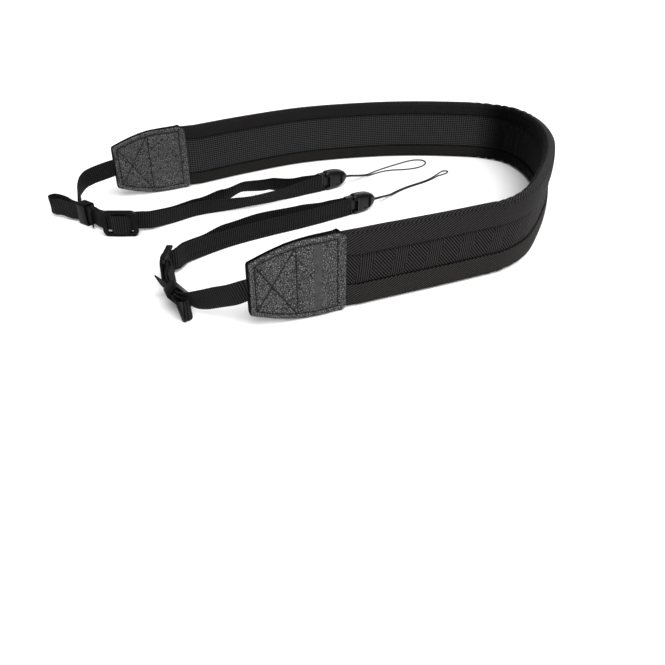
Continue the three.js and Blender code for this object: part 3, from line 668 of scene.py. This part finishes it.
def makeBandStitches():
    # through-stitched rows: one thread on each face for every stitch, set in a hem's shallow dip
    first = np.arange(stitching["fromEnd"], bandMm[-1] - stitching["fromEnd"], stitching["pitch"])
    starts, stops, raised = [], [], []
    for face, leg in ((-1, band["innerLeg"]), (1, band["outerLeg"])):
        for height in (leg - stitching["inset"], band["height"] - leg + stitching["inset"]):
            for places, kept in ((first, starts), (first + stitching["length"], stops)):
                here = at(places * mm, bandPlaces, bandLine)
                out = unit(at(places * mm, bandPlaces, bandAway))
                squeeze = np.interp(places * mm, bandPlaces, bandSqueeze)[:, None]
                here = here + out * face * (band["half"] + 0.02) * mm * squeeze
                here[:, 2] = height * mm + np.interp(places * mm, bandPlaces, bandRise)
                kept.append(here)
            raised.append(out * face)
    piece = joinedCapsules("band_stitches", np.vstack(starts), np.vstack(stops), np.vstack(raised),
                           stitching["radius"] * mm, thread)
    finishPiece(piece, "twill_binding")


makeCore()
makeFacing("band_lining", "mesh_lining", "air_mesh", airMesh, -1, band["innerLeg"])
makeFacing("band_panel", "chevron_panel", "chevron_fabric", chevron, 1, band["outerLeg"])
makeBinding("band_upper_binding", "upper_binding", upperTwill, True, 11)
makeBinding("band_lower_binding", "lower_binding", lowerTwill, False, 21)
makeBandStitches()
print("padded band made")


# ---- leather tabs ----

tab = {"corner": 4.5, "leather": 1.1, "edge": 0.55, "seam": 3.2, "cross": 23.0, "crossEnd": 3.4,
       "groove": 0.3, "grooveWidth": 0.7, "swell": 0.5, "bead": 0.3, "roll": 2.0, "toMiddle": 1.5,
       "backIn": 0.75, "flatFrom": 5.5, "flatBy": 2.5, "strip": 33.4, "stripHalf": 1.9, "stripDeep": 0.45,
       "stitch": 2.4, "thread": 1.7, "radius": 0.22, "far": 43.6}


def toSegment(u, v, a, b):
    # distance from (u, v) to the straight line between two points
    a, b = np.array(a, float), np.array(b, float)
    way = b - a
    t = np.clip(((u - a[0]) * way[0] + (v - a[1]) * way[1]) / (way @ way), 0, 1)
    return np.hypot(u - a[0] - t * way[0], v - a[1] - t * way[1])


class TabLeaf:
    # one leaf of leather, read from the frame: its run from the strap end, its half height at each
    # place, its back face and the way it looks
    def __init__(self, nodeName):
        rings = ringsOf(nodeName, 0, -1)
        middle, face, _ = stripFrames(rings)
        if nodeName.endswith("outer") == (face[8] @ np.array(self.outward(nodeName)) < 0):
            face = -face
        self.run = lengthsAlong(middle) / mm
        self.half = np.ptp(rings[..., 2], axis=1) / 2 / mm
        self.middle = middle
        self.face = face
        self.length = self.run[-1]

    def outward(self, nodeName):
        return [-0.5, 0.85, 0] if nodeName.startswith("far") else [0.4, -0.9, 0]

    def halfHeight(self, u):
        straight = np.interp(np.minimum(u, self.length - tab["corner"]), self.run, self.half)
        into = np.clip(u - (self.length - tab["corner"]), 0, tab["corner"])
        start = np.clip(0.8 - u, 0, 0.8)
        rounded = np.sqrt(np.maximum(tab["corner"] ** 2 - into**2, 0)) - tab["corner"]
        return straight + rounded - start**2 * 0.9

    def place(self, u, v, out):
        # out is millimetres in front of the leaf's back face
        middle = at(np.clip(u, 0, self.length), self.run, self.middle)
        face = unit(at(np.clip(u, 0, self.length), self.run, self.face))
        points = middle + face * ((out - tab["leather"] / 2) * mm)[..., None]
        points[..., 2] += v * mm
        return points, face

    def seams(self):
        # the sewn lines as chains of (run, height): all round, across, and the cross between them
        u = np.linspace(tab["seam"], tab["far"], 40)
        top = self.halfHeight(u) - tab["seam"]
        ring = np.vstack([np.stack([u, top], -1), np.stack([u[::-1], -top[::-1]], -1), [[u[0], top[0]]]])
        rise = np.interp(tab["cross"], u, top)
        left = np.interp(tab["crossEnd"], u, top)
        across = [[tab["cross"], rise], [tab["cross"], -rise]]
        return [ring, np.array(across), np.array([[tab["crossEnd"], left], [tab["cross"] - 0.6, -rise]]),
                np.array([[tab["crossEnd"], -left], [tab["cross"] - 0.6, rise]])]


def tabRollOn(u, length):
    # the margins roll over everywhere but where the leaf's round corners lie flat on the band
    return 1 - smoothStep(u, length - tab["flatFrom"], length - tab["flatBy"])


def rolledOver(u, toEdge, radius, drop, length):
    # a margin bent back past the tab's middle in a quarter ellipse, so the two leaves meet
    inside = np.clip(1 - toEdge / radius, 0, 1)
    return tabRollOn(u, length) * drop * (1 - np.sqrt(1 - inside**2))


def makeTab(side, layer):
    nodeName = f"{side}_tab_{layer}"
    leaf = TabLeaf(nodeName)
    u = leaf.length * (1 - np.cos(np.linspace(0.02, math.pi - 0.02, 150))) / 2
    u = np.unique(np.concatenate([u, np.arange(1, leaf.length - 1, 0.4)]))
    half = leaf.halfHeight(u)[:, None]
    count = 96
    across = np.sin(np.linspace(-math.pi / 2, math.pi / 2, count))
    across = 0.5 * np.linspace(-1, 1, count) + 0.5 * across
    v = across * half
    toEdge = np.minimum(half - np.abs(v), np.minimum(u, leaf.length - u)[:, None])
    rim = np.clip(1 - toEdge / tab["edge"], 0, 1)
    out = tab["leather"] - 0.35 * rim**2
    uu = np.broadcast_to(u[:, None], v.shape)
    seamDistance = np.min([toSegment(uu, v, a, b) for chain in leaf.seams()
                           for a, b in zip(chain[:-1], chain[1:])], axis=0)
    out = out - tab["groove"] * np.exp(-(seamDistance / tab["grooveWidth"]) ** 2)
    out = out + tab["swell"] * (1 - np.exp(-(seamDistance / 2.4) ** 2))
    out = out + tab["bead"] * bump(toEdge, 1.6, 0.9)
    pressedStrip = np.exp(-((uu - tab["strip"]) / tab["stripHalf"]) ** 6)
    pressedStrip = pressedStrip * smoothStep(half - np.abs(v), 3.2, 4.2)
    pressedStrip = pressedStrip * (side == "near" and layer == "outer")
    out = out - tab["stripDeep"] * pressedStrip
    drop = tab["toMiddle"] + tab["leather"]
    out = out - rolledOver(uu, half - np.abs(v), tab["roll"], drop, leaf.length)
    out = out + 0.05 * np.sin(uu * 0.9 + 1.7 * np.sin(v * 0.35)) * np.sin(v * 0.8 + uu * 0.3)
    backCount = 31
    back = -np.sin(np.linspace(-math.pi / 2, math.pi / 2, backCount))
    halfBack = half - tab["backIn"] * tabRollOn(u[:, None], leaf.length)
    vBack = back * halfBack
    uBack = np.broadcast_to(u[:, None], vBack.shape)
    toBack = halfBack - np.abs(vBack)
    behindOut = 0.05 - rolledOver(uBack, toBack, 0.6 * tab["roll"], tab["toMiddle"] + 0.05, leaf.length)
    front, _ = leaf.place(uu, v, out)
    behind, _ = leaf.place(uBack, vBack, behindOut)
    grid = np.concatenate([front, behind], axis=1)
    # edge mark: distance to a cut edge, for its black ink, or to a seam, for painted shade in its groove
    edge = np.concatenate([np.minimum(toEdge, 0.15 + seamDistance), 0 * vBack], axis=1)
    around = np.concatenate([np.linspace(-20, 20, count), np.linspace(20, -20, backCount), [-20]])
    pressed = np.concatenate([pressedStrip, 0 * vBack], axis=1)
    piece = skin(f"{nodeName}_leather", grid, u, around, leather, edge=edge, pressed=pressed)
    finishPiece(piece, "leather", nodeName)
    starts, stops, raised = [], [], []
    for chain in leaf.seams():
        length = lengthsAlong(chain)
        first = np.arange(0.2, length[-1] - tab["thread"], tab["stitch"])
        ends = []
        for places in (first, first + tab["thread"]):
            here = at(places, length, chain)
            point, face = leaf.place(here[:, 0], here[:, 1], np.full(len(here), tab["leather"] - 0.2))
            ends.append(point)
        starts.append(ends[0])
        stops.append(ends[1])
        raised.append(face)
    stitches = joinedCapsules(f"{nodeName}_stitches", np.vstack(starts), np.vstack(stops),
                              np.vstack(raised), tab["radius"] * mm, thread)
    finishPiece(stitches, "leather")


for side in ("far", "near"):
    for layer in ("outer", "inner"):
        makeTab(side, layer)
print("leather tabs made")


# ---- webbing ----

webbing = {"width": 10.8, "thick": 1.0, "rib": 0.45, "pitch": webbingPitch, "perRib": 5, "around": 26}


def makeWebbingStrip(side):
    # a flat oval section carried along the strip's own line, thicker on each rib than between ribs
    middle, face, up = stripFrames(ringsOf(f"{side}_webbing", 2, 1))
    perSpan = 10
    line = splineThrough(middle, perSpan)
    known = np.arange(len(middle)) * perSpan
    face = unit(at(np.arange(len(line)), known, face))
    up = unit(at(np.arange(len(line)), known, up))
    along = lengthsAlong(line)
    count = int(along[-1] / mm / webbing["pitch"] * webbing["perRib"])
    places = np.linspace(0, along[-1], count)
    line = at(places, along, line)
    way = unit(np.gradient(line, axis=0))
    up = at(places, along, up)
    up = unit(up - way * (up * way).sum(-1, keepdims=True))
    face = np.cross(way, up)
    turn = np.arange(webbing["around"]) * 2 * math.pi / webbing["around"]
    flat = np.sign(np.cos(turn)) * np.abs(np.cos(turn)) ** 0.55
    tall = np.sign(np.sin(turn)) * np.abs(np.sin(turn)) ** 0.38
    rib = np.abs(np.cos(math.pi * places / mm / webbing["pitch"])) ** 0.7
    thick = webbing["thick"] / 2 - webbing["rib"] / 2 * (1 - rib)
    width = webbing["width"] / 2 - 0.06 * (1 - rib)
    grid = line[:, None] + face[:, None] * (thick[:, None] * flat * mm)[..., None]
    grid = grid + up[:, None] * (width[:, None] * tall * mm)[..., None]
    around = np.concatenate([[0], np.cumsum(np.hypot(np.diff(flat * 0.5), np.diff(tall * 5)))])
    around = np.append(around, around[-1] + 0.6)
    strip = skin(f"{side}_webbing_strip", grid, places / mm, around, nylon)
    finishPiece(strip, "webbing", f"{side}_webbing")
    print(f"{side} webbing:", round(float(along[-1]) * 1000), "mm")


for side in ("far", "near"):
    makeWebbingStrip(side)


# ---- moulded fittings ----

def roundedCopy(nodeName, name, radius, slotName, material, segments=3):
    # a copy of the frame's solid: its corners are merged, flat faces joined and edges rounded
    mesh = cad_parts[nodeName].data.copy()
    mesh.name = name
    mesh.materials.clear()
    work = bmesh.new()
    work.from_mesh(mesh)
    bmesh.ops.remove_doubles(work, verts=work.verts, dist=0.005 * mm)
    bmesh.ops.dissolve_limit(work, angle_limit=math.radians(1.0), verts=work.verts, edges=work.edges)
    work.to_mesh(mesh)
    work.free()
    piece = addObject(name, mesh, material)
    bevel = piece.modifiers.new("rounded edges", "BEVEL")
    bevel.width, bevel.segments, bevel.limit_method = radius * mm, segments, "ANGLE"
    bevel.angle_limit = math.radians(32)
    bevel.harden_normals = True
    finishPiece(piece, slotName, nodeName)
    return piece


for side in ("far", "near"):
    roundedCopy(f"{side}_keeper", f"{side}_webbing_keeper", 0.3, "fitting_plastic", fittingAcetal)
    roundedCopy(f"{side}_slider", f"{side}_tri_glide", 0.45, "fitting_plastic", fittingAcetal)
    roundedCopy(f"{side}_buckle_prong", f"{side}_prong_half", 0.18, "buckle_plastic", buckleAcetal)

socket = {
    "rows": [(0, 11.0, 5.4), (0.9, 11.9, 6.1), (5.5, 12, 6.2), (9, 11.4, 6.2), (12, 10, 5.8),
             (14.2, 8, 5.0), (15.8, 5.8, 3.9), (16.8, 3.6, 2.8)],  # run, tall, deep
    "around": 72, "fuller": (1.12, 1.07), "rise": 0.4, "window": (7.2, 12.6, 6.4),
    "cavity": (12.6, 6.4, 3.6), "notch": (2.5, 7.0, 1.75),
}


def localFrame(nodeName):
    # the buckle half's own axes: its long way in plan by the spread of its points, and up
    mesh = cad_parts[nodeName].data
    points = np.empty(len(mesh.vertices) * 3)
    mesh.vertices.foreach_get("co", points)
    points = np.unique(np.round(points.reshape(-1, 3), 6), axis=0)
    plan = points[:, :2] - points[:, :2].mean(0)
    values, vectors = np.linalg.eigh(plan.T @ plan)
    way = np.array([*vectors[:, 1], 0])
    way = way * np.sign(way[0])
    side = np.array([-way[1], way[0], 0])
    start = (points @ way).min()
    spread = points @ side
    origin = way * start + side * (spread.min() + spread.max()) / 2
    origin[2] = (points[:, 2].min() + points[:, 2].max()) / 2
    return origin, way, side


def boxPiece(low, high):
    sides = list(zip(low, high))
    corners = np.array([[x, y, z] for x in sides[0] for y in sides[1] for z in sides[2]])
    faces = [[0, 1, 3, 2], [4, 6, 7, 5], [0, 4, 5, 1], [2, 3, 7, 6], [0, 2, 6, 4], [1, 5, 7, 3]]
    mesh = bpy.data.meshes.new("cutter")
    mesh.from_pydata(corners * mm, [], faces)
    made = bpy.data.objects.new("cutter", mesh)
    bpy.context.collection.objects.link(made)
    return made


def makeSocket(side):
    # oval sections from the mouth to the nose: |y/deep|^n + |z/tall|^n = 1, with a slight waist
    # behind the mouth, hollowed and cut through by boxes where the prong shows
    origin, way, across = localFrame(f"{side}_buckle_socket")
    rows = np.array(socket["rows"], float)
    fine = splineThrough(rows, 12)
    nose = np.linspace(0, 1, 8)[1:]
    tip = fine[-1] * np.ones((7, 1))
    tip[:, 0] += 0.45 * np.sin(nose * math.pi / 2)
    tip[:, 1:] *= np.sqrt(1.02 - nose[:, None] ** 2)
    fine = np.vstack([fine, tip])
    turn = (np.arange(socket["around"]) + 0.5) * 2 * math.pi / socket["around"]
    power = 2 / np.interp(fine[:, 0], [0, 9, 16.8], [3.6, 3.0, 2.2])[:, None]
    y = np.sign(np.cos(turn)) * np.abs(np.cos(turn)) ** power * fine[:, 2:3] / 2 * socket["fuller"][0]
    z = np.sign(np.sin(turn)) * np.abs(np.sin(turn)) ** power * fine[:, 1:2] / 2 * socket["fuller"][1]
    waist = bump(fine[:, 0], 3.6, 0.5)[:, None]
    y = y - np.sign(y) * 0.3 * waist * smoothStep(4.9 - np.abs(z), 0, 1.5)
    z = z + socket["rise"]
    x = np.broadcast_to(fine[:, :1], y.shape)
    grid = np.stack([x, y, z], -1) * mm
    around = np.linspace(0, 30, socket["around"] + 1)
    piece = skin(f"{side}_socket_half", grid, fine[:, 0], around, buckleAcetal)
    low, high, tall = socket["window"]
    length, cavityTall, deep = socket["cavity"]
    cutters = [boxPiece([low, -5, -tall / 2], [high, 5, tall / 2]),
               boxPiece([-1, -deep / 2, -cavityTall / 2], [length, deep / 2, cavityTall / 2])]
    reach, notchTall, floorAt = socket["notch"]
    for face in (-1, 1):
        sides = sorted([face * floorAt, face * 6])
        cutters.append(boxPiece([-1, sides[0], -notchTall / 2], [reach, sides[1], notchTall / 2]))
    for cutter in cutters:
        cut = piece.modifiers.new("cut", "BOOLEAN")
        cut.operation, cut.object, cut.solver = "DIFFERENCE", cutter, "EXACT"
    shaped = bpy.data.meshes.new_from_object(piece.evaluated_get(bpy.context.evaluated_depsgraph_get()))
    piece.modifiers.clear()
    for cutter in cutters:
        bpy.data.objects.remove(cutter)
    points = np.empty(len(shaped.vertices) * 3)
    shaped.vertices.foreach_get("co", points)
    points = points.reshape(-1, 3)
    placed = origin + points[:, :1] * way + points[:, 1:2] * across + points[:, 2:3] * [0, 0, 1]
    shaped.vertices.foreach_set("co", placed.ravel())
    shaped.shade_smooth()
    shaped.set_sharp_from_angle(angle=math.radians(40))
    piece.data = shaped
    finishPiece(piece, "buckle_plastic", f"{side}_buckle_socket")


for side in ("far", "near"):
    makeSocket(side)
print("fittings made")


# ---- floor and light ----

stage = {
    "floor": "#f4f4f4", "world": 0.3, "reach": 40.0,
    "key": {"power": 4.4, "angle": 55, "from": (0.28, -0.62, 0.95)},
    "back": {"power": 1.3, "angle": 50, "from": (0.45, 0.8, 0.5)},
}


def addStage():
    material, tree, shader = newFinish("plain pale floor", 0.9, 1.45, specular=0.1)
    shader.inputs["Base Color"].default_value = linear(stage["floor"])
    mesh = bpy.data.meshes.new("floor")
    reach = stage["reach"]
    mesh.from_pydata([(-reach, -reach, 0), (reach, -reach, 0), (reach, reach, 0), (-reach, reach, 0)],
                     [], [(0, 1, 2, 3)])
    floor = addObject("floor", mesh, material)
    floor.location.z = -0.05 * mm
    world = bpy.data.worlds.new("studio")
    world.use_nodes = True
    world.node_tree.nodes["Background"].inputs["Color"].default_value = (1, 1, 1, 1)
    world.node_tree.nodes["Background"].inputs["Strength"].default_value = stage["world"]
    bpy.context.scene.world = world
    for name in ("key", "back"):
        lampSettings = stage[name]
        data = bpy.data.lights.new(name, "SUN")
        data.energy, data.angle = lampSettings["power"], math.radians(lampSettings["angle"])
        lamp = bpy.data.objects.new(name, data)
        bpy.context.collection.objects.link(lamp)
        x, y, z = lampSettings["from"]
        lamp.rotation_euler = (math.atan2(math.hypot(x, y), z), 0, math.atan2(y, x) + math.pi / 2)
    bpy.context.scene.view_settings.view_transform = "Standard"


addStage()
